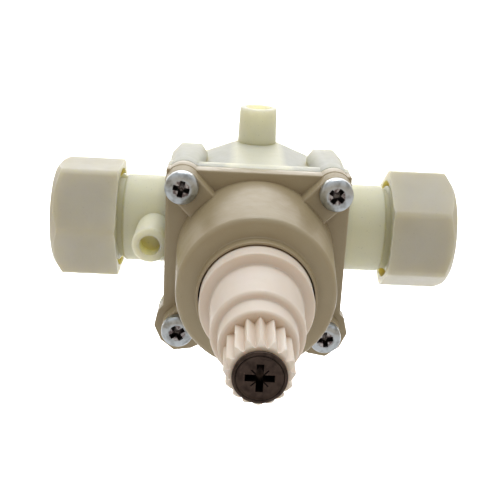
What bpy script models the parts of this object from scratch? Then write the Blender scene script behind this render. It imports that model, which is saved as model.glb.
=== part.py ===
"""Diverter valve: a moulded nylon body with two 15 mm compression ports on the X axis, a hose spigot
on top and a small side nipple, closed by a square cap held with four screws. The splined spindle
points along -Y and turns a rotor whose sprung shutter covers one port or the other.
The origin is where the port axis crosses the spindle axis. Metres, +Z up."""

import math

import bmesh
import bpy
from mathutils import Matrix, Vector

MM = 0.001

# General
GAP = 0.3 * MM  # between pieces that touch
OVERLAP = 1.0 * MM  # how far joined shapes run into each other, and cutters past a face
TURN_STEPS = 36
SMALL_STEPS = 20
WIRE_SIDES = 6

# Ports: 15 mm pipe, G1/2 thread
PIPE_RADIUS = 7.5 * MM
THREAD_RADIUS = 10.48 * MM
WATERWAY_RADIUS = 6.0 * MM
PORT_REACH = 40.5 * MM  # from the spindle axis to the tube's mouth
SOCKET_DEPTH = 16.5 * MM
SOCKET_PLAY = 0.1 * MM

# Spindle
COLLAR_RADIUS = 10.9 * MM
COLLAR_PROUD = 4.1 * MM  # in front of the cap's lip
BARREL_BASE_RADIUS = 8.7 * MM
BARREL_TOP_RADIUS = 8.4 * MM
BARREL_LENGTH = 12.8 * MM
SHOULDER_RADIUS = 6.9 * MM
SHOULDER_LENGTH = 5.0 * MM
SPLINE_TEETH = 16
SPLINE_TIP_RADIUS = 5.8 * MM
SPLINE_ROOT_RADIUS = 4.85 * MM
SPLINE_LENGTH = 9.9 * MM
THRUST_LEDGE = 2.2 * MM  # how far the thrust flange stands out past the collar
THRUST_THICKNESS = 2.4 * MM
THRUST_AHEAD = 9.8 * MM  # from the parting face forward to the ledge that takes the thrust
WASHER_THICKNESS = 0.8 * MM
STEM_RADIUS = 7.0 * MM
TANG_SIDE = 5.4 * MM
TANG_LENGTH = 6.4 * MM
TURN_EACH_WAY = math.radians(90)
STOP_HALF_ANGLE = math.radians(10)
STOP_PLAY = math.radians(2)
STOP_INSET = 1.6 * MM

# Cap
DOME_WALL = 3.6 * MM
DOME_DRAFT = 1.4 * MM
DOME_FRONT_Y = -48.9 * MM
DOME_EDGE = 0.6 * MM
LIP_WALL = 0.5 * MM
LIP_HEIGHT = 2.4 * MM
PLATE_THICKNESS = 4.0 * MM
PAD_HEIGHT = 3.6 * MM
REGISTER_WALL = 1.9 * MM
REGISTER_LENGTH = 4.0 * MM
REGISTER_GAP = 0.4 * MM
PARTING_Y = -22.0 * MM

# Body
CHAMBER_WALL = 2.4 * MM
BACK_FACE_Y = 13.0 * MM
BACK_WALL = 3.4 * MM
BODY_FLANGE_THICKNESS = 4.0 * MM
BOSS_REACH = 22.0 * MM  # from the parting face backwards
BOSS_END_RADIUS = 3.6 * MM
BOSS_LEAN = 0.9 * MM  # how far the boss's end leans in, each way
WEB_THICKNESS = 2.2 * MM
SPIGOT_Y = 8.2 * MM
SPIGOT_TOP = 26.8 * MM
SPIGOT_BASE_RADIUS = 4.75 * MM
SPIGOT_TOP_RADIUS = 4.45 * MM
SPIGOT_BORE_RADIUS = 3.1 * MM
NIPPLE_RADIUS = 4.0 * MM
NIPPLE_BORE_RADIUS = 2.4 * MM
NIPPLE_BORE_DEPTH = 4.0 * MM
NIPPLE_BEHIND_PARTING = 0.5 * MM
NIPPLE_SINK = 0.4 * MM  # into the flange's side

# Cap screws
SCREW_SHANK_RADIUS = 1.75 * MM
SCREW_HEAD_RADIUS = 3.5 * MM
SCREW_HEAD_HEIGHT = 2.4 * MM
SCREW_HEAD_SHAPE = [(0, 0.55), (0.12, 0.8), (0.38, 0.95), (0.7, 1)]  # shares of the height and radius
SCREW_BITE = 11.0 * MM  # length inside the body
SCREW_WALL = 4.53 * MM  # from the chamber's outside to a screw's axis
LUG_RADIUS = 3.8 * MM
LUG_STEP = 0.15 * MM  # by which a pad or a boss starts inside its lug's edge
EAR_RADIUS = 5.2 * MM  # the larger lug, lower left
FLANGE_SIDE_MARGIN = 3.6 * MM
FLANGE_TOP_MARGIN = 2.7 * MM
RECESS_BAR = 1.0 * MM
RECESS_SPAN = 3.9 * MM
RECESS_DEPTH = 1.5 * MM

# End screw and insert
END_HEAD_RADIUS = 4.45 * MM
END_HEAD_HEIGHT = 0.7 * MM
END_RIM = 0.45 * MM
END_RIM_HEIGHT = 0.1 * MM
END_SHANK_RADIUS = 2.5 * MM
END_SHANK_LENGTH = 9.0 * MM
END_RECESS_BAR = 1.2 * MM
END_RECESS_SPAN = 4.9 * MM
END_RECESS_DEPTH = 1.5 * MM
INSERT_WALL = 0.9 * MM
INSERT_LENGTH = 9.5 * MM

# Round seals: section radius
SEAL_SECTION = 0.7 * MM
FIRST_SEAL_Y = -44.0 * MM
SEAL_PITCH = 6.0 * MM
GROOVE_WIDTH = 2.0 * MM

# Rotor and shutter
HUB_RADIUS = 5.5 * MM
HUB_BEHIND_REGISTER = 2.0 * MM
TAIL_RADIUS = 2.5 * MM
BUSH_WALL = 1.2 * MM
BUSH_LENGTH = 1.7 * MM
GUIDE_RADIUS = 5.4 * MM
GUIDE_BORE_RADIUS = 3.9 * MM
HOLDER_RADIUS = 6.6 * MM
HOLDER_THICKNESS = 1.3 * MM
HOLDER_STEM_LENGTH = 3.0 * MM
SHUTTER_MARGIN = 1.3 * MM  # past the waterway's edge all round
SHUTTER_THICKNESS = 2.6 * MM
SPRING_RADIUS = 2.7 * MM
SPRING_ROOM = 3.0 * MM
SPRING_WIRE_RADIUS = 0.35 * MM
SPRING_TURNS = 3
SPRING_STEPS = 12

# Nuts
NUT_WALL = 2.32 * MM  # from the thread to a flat
NUT_REACH = 6.8 * MM  # past the tube's mouth
NUT_LENGTH = 15.4 * MM
NUT_END_WALL = 2.3 * MM
NUT_RECESS_STEP = 1.22 * MM  # wider than the thread
NUT_RECESS_DEPTH = 1.5 * MM
NUT_FACE_DROP = 1.2 * MM  # from a flat to the edge of the ring left at the outer end
NUT_CHAMFER_LENGTH = 2.3 * MM
NUT_INNER_CHAMFER = 0.6 * MM
NUT_TURNED = {"left": math.radians(-29.5), "right": math.radians(0.5)}
PIPE_PLAY = 0.25 * MM
RING_PLAY = 0.7 * MM  # round the grip ring, inside the nut
GRIP_LENGTH = 1.7 * MM
GRIP_SLIT = 1.0 * MM
PIPE_SEAL_LENGTH = 1.6 * MM

# Places and sizes that follow
cap_bore = COLLAR_RADIUS + GAP
thrust_radius = COLLAR_RADIUS + THRUST_LEDGE
counterbore = thrust_radius + GAP
register_radius = counterbore + REGISTER_WALL
chamber_radius = register_radius + REGISTER_GAP
barrel_radius = chamber_radius + CHAMBER_WALL
chamber_back_y = BACK_FACE_Y - BACK_WALL
screw_offset = (barrel_radius + SCREW_WALL) / math.sqrt(2)
flange_half_width = screw_offset + FLANGE_SIDE_MARGIN
flange_half_height = screw_offset + FLANGE_TOP_MARGIN
cap_back_y = PARTING_Y - GAP / 2
body_front_y = PARTING_Y + GAP / 2
plate_front_y = PARTING_Y - PLATE_THICKNESS
pad_front_y = plate_front_y - PAD_HEIGHT
lip_y = DOME_FRONT_Y - LIP_HEIGHT
collar_y = lip_y - COLLAR_PROUD
barrel_y = collar_y - BARREL_LENGTH
shoulder_y = barrel_y - SHOULDER_LENGTH
spline_y = shoulder_y - SPLINE_LENGTH
ledge_y = PARTING_Y - THRUST_AHEAD
thrust_y = ledge_y + 2 * GAP + WASHER_THICKNESS
thrust_back_y = thrust_y + THRUST_THICKNESS
register_y = PARTING_Y + REGISTER_LENGTH
hub_y = register_y + HUB_BEHIND_REGISTER
insert_radius = END_SHANK_RADIUS + GAP + INSERT_WALL
shutter_radius = WATERWAY_RADIUS + SHUTTER_MARGIN
sweep_radius = chamber_radius - GAP
shutter_z = sweep_radius - SHUTTER_THICKNESS
holder_z = shutter_z - GAP - HOLDER_THICKNESS
guide_z = holder_z - GAP
stem_z = holder_z - HOLDER_STEM_LENGTH
pipe_hole = PIPE_RADIUS + PIPE_PLAY
thread_bore = THREAD_RADIUS + GAP
ring_radius = thread_bore - RING_PLAY
nut_flat = THREAD_RADIUS + NUT_WALL
nut_corner = nut_flat * 2 / math.sqrt(3)
nut_face_radius = nut_flat - NUT_FACE_DROP
nut_outer_x = PORT_REACH + NUT_REACH
nut_inner_x = nut_outer_x - NUT_LENGTH
nut_wall_x = nut_outer_x - NUT_END_WALL
nipple_x = -(flange_half_width + NIPPLE_RADIUS - NIPPLE_SINK)
nipple_y = PARTING_Y + NIPPLE_BEHIND_PARTING

CORNERS = {"upper_left": (-1, 1), "upper_right": (1, 1), "lower_left": (-1, -1), "lower_right": (1, -1)}

# An outline is a list of (along, radius); these turn a shape made along +Z to lie along an axis.
ALONG = {
    "X": Matrix.Rotation(math.radians(90), 4, "Y"),
    "Y": Matrix.Rotation(math.radians(-90), 4, "X"),
    "Z": Matrix.Identity(4),
    "-Z": Matrix.Rotation(math.radians(180), 4, "X"),
}


def clear_scene():
    for old in list(bpy.data.objects):
        bpy.data.objects.remove(old, do_unlink=True)


def material(name, colour, roughness, metallic=0.0):
    mat = bpy.data.materials.new(name)
    mat.use_nodes = True
    shader = mat.node_tree.nodes["Principled BSDF"]
    shader.inputs["Base Color"].default_value = (*colour, 1)
    shader.inputs["Roughness"].default_value = roughness
    shader.inputs["Metallic"].default_value = metallic
    return mat


def finish(name, bm, mat=None):
    """The bmesh as an object, with its normals outwards and its round sides smooth."""
    bmesh.ops.recalc_face_normals(bm, faces=bm.faces)
    mesh = bpy.data.meshes.new(name)
    bm.to_mesh(mesh)
    bm.free()
    mesh.shade_smooth()
    mesh.set_sharp_from_angle(angle=math.radians(35))
    obj = bpy.data.objects.new(name, mesh)
    bpy.context.scene.collection.objects.link(obj)
    if mat:
        mesh.materials.append(mat)
    return obj


def as_tool(obj):
    """A shape that is only joined to another or cut from it."""
    obj.hide_render = True
    obj.display_type = "WIRE"
    return obj


def combine(target, operation, tools):
    for tool in tools:
        as_tool(tool)
        step = target.modifiers.new(f"{operation.lower()} {tool.name}", "BOOLEAN")
        step.operation = operation
        step.solver = "MANIFOLD"  # stays closed through the long runs of joins and cuts below
        step.object = tool


def join(target, *tools):
    combine(target, "UNION", tools)


def cut(target, *tools):
    combine(target, "DIFFERENCE", tools)


def turned(name, outline, along, at=(0, 0, 0), steps=TURN_STEPS, angle=math.tau, start=0.0, mat=None):
    """An outline of (along, radius) turned about an axis. It starts and ends on the axis, or is a loop."""
    bm = bmesh.new()
    points = [bm.verts.new((radius, 0, place)) for place, radius in outline]
    solid = outline[0][1] == 0
    pairs = list(zip(points, points[1:]))
    if not solid:
        pairs.append((points[-1], points[0]))
    edges = [bm.edges.new(pair) for pair in pairs]
    full = angle >= math.tau
    if not full and not solid:
        bm.faces.new(points)
    geometry = points + edges + list(bm.faces)
    bmesh.ops.spin(
        bm, geom=geometry, cent=(0, 0, 0), axis=(0, 0, 1), angle=angle, steps=steps, use_merge=full
    )
    bmesh.ops.remove_doubles(bm, verts=bm.verts, dist=0.001 * MM)
    bmesh.ops.rotate(bm, verts=bm.verts, cent=(0, 0, 0), matrix=Matrix.Rotation(start, 3, "Z"))
    bmesh.ops.transform(bm, matrix=Matrix.Translation(at) @ ALONG[along], verts=bm.verts)
    return finish(name, bm, mat)


def rod(name, along, low, high, radius, at=(0, 0, 0), steps=TURN_STEPS, end_radius=None):
    top = radius if end_radius is None else end_radius
    return turned(name, [(low, 0), (low, radius), (high, top), (high, 0)], along, at, steps)


def ring(name, along, low, high, inner, outer, mat=None, steps=TURN_STEPS):
    outline = [(low, inner), (low, outer), (high, outer), (high, inner)]
    return turned(name, outline, along, steps=steps, mat=mat)


def round_seal(name, y, radius, mat):
    """A round-section ring about the Y axis."""
    angles = [math.tau * i / WIRE_SIDES for i in range(WIRE_SIDES)]
    outline = [(y + SEAL_SECTION * math.sin(a), radius + SEAL_SECTION * math.cos(a)) for a in angles]
    return turned(name, outline, "Y", mat=mat)


def block(name, low, high, turn=None):
    """A box between two corners, turned about the origin when a matrix is given."""
    bm = bmesh.new()
    bmesh.ops.create_cube(bm, size=1)
    low = Vector(low)
    high = Vector(high)
    place = Matrix.Translation((low + high) / 2) @ Matrix.Diagonal((*(high - low), 1))
    bmesh.ops.transform(bm, matrix=(turn or Matrix.Identity(4)) @ place, verts=bm.verts)
    return finish(name, bm)


def sector(name, y_low, y_high, inner, outer, middle, half_angle):
    """Part of a ring about the Y axis. Its middle is measured from -Z, towards +X."""
    outline = [(y_low, inner), (y_low, outer), (y_high, outer), (y_high, inner)]
    start = math.radians(90) + middle - half_angle
    steps = max(4, round(TURN_STEPS * half_angle / math.pi))
    return turned(name, outline, "Y", steps=steps, angle=2 * half_angle, start=start)


def corner_place(corner, offset=None):
    side, up = CORNERS[corner]
    reach = screw_offset if offset is None else offset
    return side * reach, up * reach


def lug_radius(corner):
    return EAR_RADIUS if corner == "lower_left" else LUG_RADIUS


def flange(name, low_y, high_y):
    """The square plate with a round lug at each corner."""
    plate = block(
        name,
        (-flange_half_width, low_y, -flange_half_height),
        (flange_half_width, high_y, flange_half_height),
    )
    for corner in CORNERS:
        x, z = corner_place(corner)
        join(plate, rod(f"{name}_{corner}", "Y", low_y, high_y, lug_radius(corner), (x, 0, z), SMALL_STEPS))
    return plate


def outward(corner):
    """Turns +X to point from the spindle axis to a corner's screw."""
    side, up = CORNERS[corner]
    return Matrix.Rotation(-math.atan2(up, side), 4, "Y")


def wrapped(name, bm):
    """The tightest solid round the bmesh's points."""
    hull = bmesh.ops.convex_hull(bm, input=bm.verts)
    inside = [item for item in hull["geom_interior"] if isinstance(item, bmesh.types.BMVert)]
    bmesh.ops.delete(bm, geom=inside, context="VERTS")
    return finish(name, bm)


def circle_at(bm, corner, y, radius, offset=None):
    x, z = corner_place(corner, offset)
    place = Matrix.Translation((x, y, z)) @ ALONG["Y"]
    bmesh.ops.create_circle(bm, cap_ends=False, segments=SMALL_STEPS, radius=radius, matrix=place)


def boss(corner):
    """The tapered post behind a lug, which takes a screw."""
    bm = bmesh.new()
    circle_at(bm, corner, body_front_y + OVERLAP, LUG_RADIUS - LUG_STEP)
    circle_at(bm, corner, PARTING_Y + BOSS_REACH, BOSS_END_RADIUS, screw_offset - BOSS_LEAN)
    return wrapped(f"boss_{corner}", bm)


def web(corner):
    """The rib between a boss and the chamber's wall."""
    far = screw_offset * math.sqrt(2) - BOSS_LEAN
    near = chamber_radius + CHAMBER_WALL / 2
    low = (near, body_front_y + 1.5 * OVERLAP, -WEB_THICKNESS / 2)
    high = (far, PARTING_Y + BOSS_REACH - OVERLAP, WEB_THICKNESS / 2)
    return block(f"web_{corner}", low, high, outward(corner))


def pad(corner):
    """The raised strip on the cap from the dome to a screw, round at its outer end."""
    bm = bmesh.new()
    half = LUG_RADIUS - LUG_STEP
    inner = counterbore + DOME_WALL / 2
    for y in (pad_front_y, plate_front_y + OVERLAP):
        circle_at(bm, corner, y, half)
        for z in (-half, half):
            bm.verts.new(outward(corner) @ Vector((inner, y, z)))
    return wrapped(f"pad_{corner}", bm)


def valve_body(mat):
    body = rod("valve_body", "Y", body_front_y + OVERLAP / 2, BACK_FACE_Y, barrel_radius)
    body.data.materials.append(mat)
    join(body, flange("body_flange", body_front_y, body_front_y + BODY_FLANGE_THICKNESS))
    for corner in CORNERS:
        join(body, boss(corner), web(corner))
    join(body, rod("port_tubes", "X", -PORT_REACH, PORT_REACH, THREAD_RADIUS))
    spigot_base = barrel_radius - 2 * CHAMBER_WALL
    spigot = rod(
        "spigot", "Z", spigot_base, SPIGOT_TOP, SPIGOT_BASE_RADIUS, (0, SPIGOT_Y, 0), SMALL_STEPS,
        SPIGOT_TOP_RADIUS,
    )
    nipple = rod("nipple", "Y", nipple_y, 0, NIPPLE_RADIUS, (nipple_x, 0, 0), SMALL_STEPS)
    join(body, spigot, nipple)

    rebate = register_radius + 2 * GAP + 2 * SEAL_SECTION
    rebate_y = body_front_y + 2 * GAP + 2 * SEAL_SECTION
    bush_seat = TAIL_RADIUS + 2 * GAP + BUSH_WALL
    bush_seat_y = chamber_back_y + BUSH_LENGTH + 2 * GAP
    chamber = turned(
        "chamber",
        [
            (body_front_y - OVERLAP, 0),
            (body_front_y - OVERLAP, rebate),
            (rebate_y, rebate),
            (rebate_y, chamber_radius),
            (chamber_back_y, chamber_radius),
            (chamber_back_y, bush_seat),
            (bush_seat_y, bush_seat),
            (bush_seat_y, 0),
        ],
        "Y",
    )
    socket = PIPE_RADIUS + SOCKET_PLAY
    stop_x = PORT_REACH - SOCKET_DEPTH
    end_x = PORT_REACH + OVERLAP
    waterway = turned(
        "waterway",
        [
            (-end_x, 0), (-end_x, socket), (-stop_x, socket), (-stop_x, WATERWAY_RADIUS),
            (stop_x, WATERWAY_RADIUS), (stop_x, socket), (end_x, socket), (end_x, 0),
        ],
        "X",
    )
    spigot_at = (0, SPIGOT_Y, 0)
    spigot_bore = rod(
        "spigot_bore", "Z", chamber_radius - CHAMBER_WALL, SPIGOT_TOP + OVERLAP, SPIGOT_BORE_RADIUS,
        spigot_at, SMALL_STEPS,
    )
    nipple_bore = rod(
        "nipple_bore", "Y", nipple_y - OVERLAP, nipple_y + NIPPLE_BORE_DEPTH, NIPPLE_BORE_RADIUS,
        (nipple_x, 0, 0), SMALL_STEPS,
    )
    cut(body, chamber, waterway, spigot_bore, nipple_bore)
    for corner in CORNERS:
        x, z = corner_place(corner)
        depth_y = PARTING_Y + SCREW_BITE + 2 * GAP
        cut(
            body,
            rod(
                f"pilot_{corner}", "Y", body_front_y - OVERLAP, depth_y, SCREW_SHANK_RADIUS + GAP,
                (x, 0, z), SMALL_STEPS,
            ),
        )
    return body


def cap(mat):
    """The square cover with its tapered dome, its lip and a raised pad to each screw."""
    dome_base = counterbore + DOME_WALL
    dome_front = dome_base - DOME_DRAFT
    bottom_y = cap_back_y - OVERLAP
    cover = turned(
        "cap",
        [
            (register_y, 0),
            (register_y, register_radius),
            (bottom_y, register_radius),
            (bottom_y, dome_base),
            (DOME_FRONT_Y + DOME_EDGE, dome_front),
            (DOME_FRONT_Y, dome_front - DOME_EDGE),
            (DOME_FRONT_Y, cap_bore + LIP_WALL),
            (lip_y, cap_bore + LIP_WALL),
            (lip_y, 0),
        ],
        "Y",
        mat=mat,
    )
    join(cover, flange("cap_flange", plate_front_y, cap_back_y))
    for corner in CORNERS:
        join(cover, pad(corner))
    bore = turned(
        "cap_bores",
        [
            (lip_y - OVERLAP, 0),
            (lip_y - OVERLAP, cap_bore),
            (ledge_y, cap_bore),
            (ledge_y, counterbore),
            (register_y + OVERLAP, counterbore),
            (register_y + OVERLAP, 0),
        ],
        "Y",
    )
    cut(cover, bore)
    for corner in CORNERS:
        x, z = corner_place(corner)
        hole = rod(
            f"screw_hole_{corner}", "Y", pad_front_y - OVERLAP, cap_back_y + OVERLAP,
            SCREW_SHANK_RADIUS + GAP, (x, 0, z), SMALL_STEPS,
        )
        cut(cover, hole)
    rib_inner = counterbore - STOP_INSET
    rib = sector(
        "stop_rib", ledge_y - OVERLAP, thrust_back_y, rib_inner, counterbore + OVERLAP, 0, STOP_HALF_ANGLE
    )
    join(cover, rib)
    return cover


def cross(name, y_front, bar, span, depth, at):
    """Two bars at right angles: the tool that cuts a cross recess."""
    x, z = at
    low_y = y_front - OVERLAP
    high_y = y_front + depth
    tall = block(name, (x - bar / 2, low_y, z - span / 2), (x + bar / 2, high_y, z + span / 2))
    wide = block(f"{name}_bar", (x - span / 2, low_y, z - bar / 2), (x + span / 2, high_y, z + bar / 2))
    join(tall, wide)
    return tall


def cap_screw(corner, mat):
    """A pan-headed screw, its shank straight into the boss."""
    x, z = corner_place(corner)
    under_y = pad_front_y - GAP
    head_y = under_y - SCREW_HEAD_HEIGHT
    tip_y = PARTING_Y + SCREW_BITE
    outline = [(head_y, 0)]
    for share, width in SCREW_HEAD_SHAPE:
        outline.append((head_y + share * SCREW_HEAD_HEIGHT, width * SCREW_HEAD_RADIUS))
    outline += [
        (under_y, SCREW_HEAD_RADIUS),
        (under_y, SCREW_SHANK_RADIUS),
        (tip_y - SCREW_SHANK_RADIUS, SCREW_SHANK_RADIUS),
        (tip_y, SCREW_SHANK_RADIUS / 3),
        (tip_y, 0),
    ]
    screw = turned(f"cap_screw_{corner}", outline, "Y", (x, 0, z), SMALL_STEPS, mat=mat)
    cut(screw, cross(f"recess_{corner}", head_y, RECESS_BAR, RECESS_SPAN, RECESS_DEPTH, (x, z)))
    return screw


def spline(name):
    """The toothed end: a star outline drawn out along Y, with one tooth straight up."""
    bm = bmesh.new()
    points = []
    for i in range(4 * SPLINE_TEETH):
        angle = math.tau * (i - 0.5) / (4 * SPLINE_TEETH)
        radius = SPLINE_TIP_RADIUS if i % 4 in (0, 1) else SPLINE_ROOT_RADIUS
        points.append(bm.verts.new((radius * math.sin(angle), spline_y, radius * math.cos(angle))))
    face = bm.faces.new(points)
    drawn = bmesh.ops.extrude_face_region(bm, geom=[face])
    moved = [item for item in drawn["geom"] if isinstance(item, bmesh.types.BMVert)]
    bmesh.ops.translate(bm, vec=(0, SPLINE_LENGTH + OVERLAP, 0), verts=moved)
    return finish(name, bm)


def groove_outline(seal_y):
    """The four corners of a seal's groove in the spindle's collar."""
    low = seal_y - GROOVE_WIDTH / 2
    high = seal_y + GROOVE_WIDTH / 2
    floor = cap_bore - 2 * SEAL_SECTION - 1.5 * GAP
    return [(low, COLLAR_RADIUS), (low, floor), (high, floor), (high, COLLAR_RADIUS)]


def spindle(mat):
    stem = turned(
        "spindle",
        [
            (shoulder_y, 0),
            (shoulder_y, SHOULDER_RADIUS),
            (barrel_y, SHOULDER_RADIUS),
            (barrel_y, BARREL_TOP_RADIUS),
            (collar_y, BARREL_BASE_RADIUS),
            (collar_y, COLLAR_RADIUS),
            *groove_outline(FIRST_SEAL_Y),
            *groove_outline(FIRST_SEAL_Y + SEAL_PITCH),
            (thrust_y, COLLAR_RADIUS),
            (thrust_y, thrust_radius),
            (thrust_back_y, thrust_radius),
            (thrust_back_y, STEM_RADIUS),
            (hub_y - GAP, STEM_RADIUS),
            (hub_y - GAP, 0),
        ],
        "Y",
        mat=mat,
    )
    half = TANG_SIDE / 2
    tang = block("tang", (-half, hub_y - GAP - OVERLAP, -half), (half, hub_y + TANG_LENGTH, half))
    join(stem, spline("spline"), tang)
    insert_hole = rod(
        "insert_hole", "Y", spline_y - OVERLAP, spline_y + INSERT_LENGTH + 2 * GAP, insert_radius + GAP,
        steps=SMALL_STEPS,
    )
    free_angle = TURN_EACH_WAY + STOP_HALF_ANGLE + STOP_PLAY
    relief = sector(
        "stop_relief", thrust_y - GAP / 2, thrust_back_y + OVERLAP, counterbore - STOP_INSET - GAP,
        thrust_radius + OVERLAP, 0, free_angle,
    )
    cut(stem, insert_hole, relief)
    return stem


def spindle_screw(mat):
    """The screw in the spindle's end, with a thin raised rim and a cross recess."""
    under_y = spline_y - GAP
    face_y = under_y - END_HEAD_HEIGHT
    rim_y = face_y - END_RIM_HEIGHT
    screw = turned(
        "spindle_screw",
        [
            (face_y, 0),
            (face_y, END_HEAD_RADIUS - END_RIM),
            (rim_y, END_HEAD_RADIUS - 0.7 * END_RIM),
            (rim_y, END_HEAD_RADIUS - 0.3 * END_RIM),
            (face_y, END_HEAD_RADIUS),
            (under_y, END_HEAD_RADIUS),
            (under_y, END_SHANK_RADIUS),
            (spline_y + END_SHANK_LENGTH, END_SHANK_RADIUS),
            (spline_y + END_SHANK_LENGTH, 0),
        ],
        "Y",
        mat=mat,
    )
    cut(screw, cross("end_recess", face_y, END_RECESS_BAR, END_RECESS_SPAN, END_RECESS_DEPTH, (0, 0)))
    return screw


def thrust_washer(mat):
    """The washer ahead of the thrust flange, notched round the cap's stop rib."""
    low = ledge_y + GAP
    washer = ring("thrust_washer", "Y", low, low + WASHER_THICKNESS, cap_bore, counterbore - GAP, mat)
    notch = sector(
        "washer_notch", low - OVERLAP, low + WASHER_THICKNESS + OVERLAP, counterbore - STOP_INSET - GAP,
        counterbore + OVERLAP, 0, STOP_HALF_ANGLE + STOP_PLAY,
    )
    cut(washer, notch)
    return washer


def rotor(mat):
    """The hub that the spindle's tang drives, with a tail in the rear bush and a guide for the shutter."""
    tail_y = chamber_back_y + BUSH_LENGTH
    body = turned(
        "rotor",
        [
            (hub_y, 0),
            (hub_y, HUB_RADIUS),
            (chamber_back_y - GAP, HUB_RADIUS),
            (chamber_back_y - GAP, TAIL_RADIUS),
            (tail_y, TAIL_RADIUS),
            (tail_y, 0),
        ],
        "Y",
        mat=mat,
    )
    join(body, rod("guide", "-Z", 0, guide_z, GUIDE_RADIUS, steps=SMALL_STEPS))
    half = TANG_SIDE / 2 + GAP
    socket = block("tang_socket", (-half, hub_y - OVERLAP, -half), (half, hub_y + TANG_LENGTH + GAP, half))
    spring_seat = stem_z - SPRING_ROOM - GAP
    bore = rod("guide_bore", "-Z", spring_seat, guide_z + OVERLAP, GUIDE_BORE_RADIUS, steps=SMALL_STEPS)
    cut(body, socket, bore)
    return body


def shutter_holder(mat):
    return turned(
        "shutter_holder",
        [
            (stem_z, 0),
            (stem_z, GUIDE_BORE_RADIUS - GAP),
            (holder_z, GUIDE_BORE_RADIUS - GAP),
            (holder_z, HOLDER_RADIUS),
            (holder_z + HOLDER_THICKNESS, HOLDER_RADIUS),
            (holder_z + HOLDER_THICKNESS, 0),
        ],
        "-Z",
        steps=SMALL_STEPS,
        mat=mat,
    )


def shutter_seal(mat):
    """The rubber pad, its face curved to run round the chamber's wall."""
    seal = rod("shutter_seal", "-Z", shutter_z, sweep_radius + OVERLAP, shutter_radius, steps=SMALL_STEPS)
    seal.data.materials.append(mat)
    reach = shutter_radius + OVERLAP
    combine(seal, "INTERSECT", [rod("sweep", "Y", -reach, reach, sweep_radius)])
    return seal


def shutter_spring(mat):
    """A short coil pressing the shutter out against the wall."""
    seat = stem_z - SPRING_ROOM
    low = seat + SPRING_WIRE_RADIUS
    high = stem_z - GAP - SPRING_WIRE_RADIUS
    curve = bpy.data.curves.new("shutter_spring", "CURVE")
    curve.dimensions = "3D"
    curve.bevel_depth = SPRING_WIRE_RADIUS
    curve.bevel_resolution = 1
    curve.use_fill_caps = True
    line = curve.splines.new("POLY")
    count = SPRING_TURNS * SPRING_STEPS + 1
    line.points.add(count - 1)
    for i, point in enumerate(line.points):
        angle = math.tau * i / SPRING_STEPS
        down = low + (high - low) * i / (count - 1)
        point.co = (SPRING_RADIUS * math.cos(angle), SPRING_RADIUS * math.sin(angle), -down, 1)
    obj = bpy.data.objects.new("shutter_spring", curve)
    bpy.context.scene.collection.objects.link(obj)
    curve.materials.append(mat)
    return obj


def union_nut(side, sign, mat):
    """A six-sided nut, chamfered at both ends, hollow for the thread and holed for the pipe."""
    bm = bmesh.new()
    bmesh.ops.create_cone(
        bm, cap_ends=True, cap_tris=False, segments=6, radius1=nut_corner, radius2=nut_corner,
        depth=NUT_LENGTH,
    )
    middle = (nut_outer_x + nut_inner_x) / 2
    corner_up = Matrix.Rotation(-NUT_TURNED[side], 4, "X")
    bmesh.ops.rotate(bm, verts=bm.verts, cent=(0, 0, 0), matrix=Matrix.Rotation(math.radians(30), 3, "Z"))
    place = corner_up @ Matrix.Translation((sign * middle, 0, 0)) @ ALONG["X"]
    bmesh.ops.transform(bm, matrix=place, verts=bm.verts)
    nut = finish(f"union_nut_{side}", bm, mat)
    outer = nut_outer_x
    inner = nut_inner_x
    slope = NUT_CHAMFER_LENGTH / (nut_corner - nut_face_radius)
    far = nut_corner + OVERLAP
    envelope = turned(
        f"nut_envelope_{side}",
        [
            (sign * (inner - OVERLAP), 0),
            (sign * (inner - OVERLAP), nut_corner - NUT_INNER_CHAMFER - OVERLAP),
            (sign * (inner + NUT_INNER_CHAMFER + OVERLAP), far),
            (sign * (outer - NUT_CHAMFER_LENGTH - slope * OVERLAP), far),
            (sign * (outer + slope * OVERLAP), nut_face_radius - OVERLAP),
            (sign * (outer + slope * OVERLAP), 0),
        ],
        "X",
    )
    combine(nut, "INTERSECT", [envelope])
    recess = THREAD_RADIUS + NUT_RECESS_STEP
    hollow = turned(
        f"nut_hollow_{side}",
        [
            (sign * (inner - OVERLAP), 0),
            (sign * (inner - OVERLAP), recess),
            (sign * (inner + NUT_RECESS_DEPTH), recess),
            (sign * (inner + NUT_RECESS_DEPTH), thread_bore),
            (sign * nut_wall_x, thread_bore),
            (sign * nut_wall_x, pipe_hole),
            (sign * (outer + OVERLAP), pipe_hole),
            (sign * (outer + OVERLAP), 0),
        ],
        "X",
    )
    cut(nut, hollow)
    return nut


def pipe_seal(side, sign, mat):
    low = PORT_REACH + GAP
    high = low + PIPE_SEAL_LENGTH
    ends = sorted((sign * low, sign * high))
    return ring(f"pipe_seal_{side}", "X", *ends, pipe_hole, ring_radius - GAP, mat)


def grip_ring(side, sign, mat):
    """The split ring that bites on the pipe, between the seal and the nut's end wall."""
    high = nut_wall_x - GAP
    low = high - GRIP_LENGTH
    ends = sorted((sign * low, sign * high))
    grip = ring(f"grip_ring_{side}", "X", *ends, pipe_hole, ring_radius, mat)
    half = GRIP_SLIT / 2
    slit = block(
        f"slit_{side}",
        (ends[0] - OVERLAP, -half, 0),
        (ends[1] + OVERLAP, half, ring_radius + OVERLAP),
    )
    cut(grip, slit)
    return grip


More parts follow.
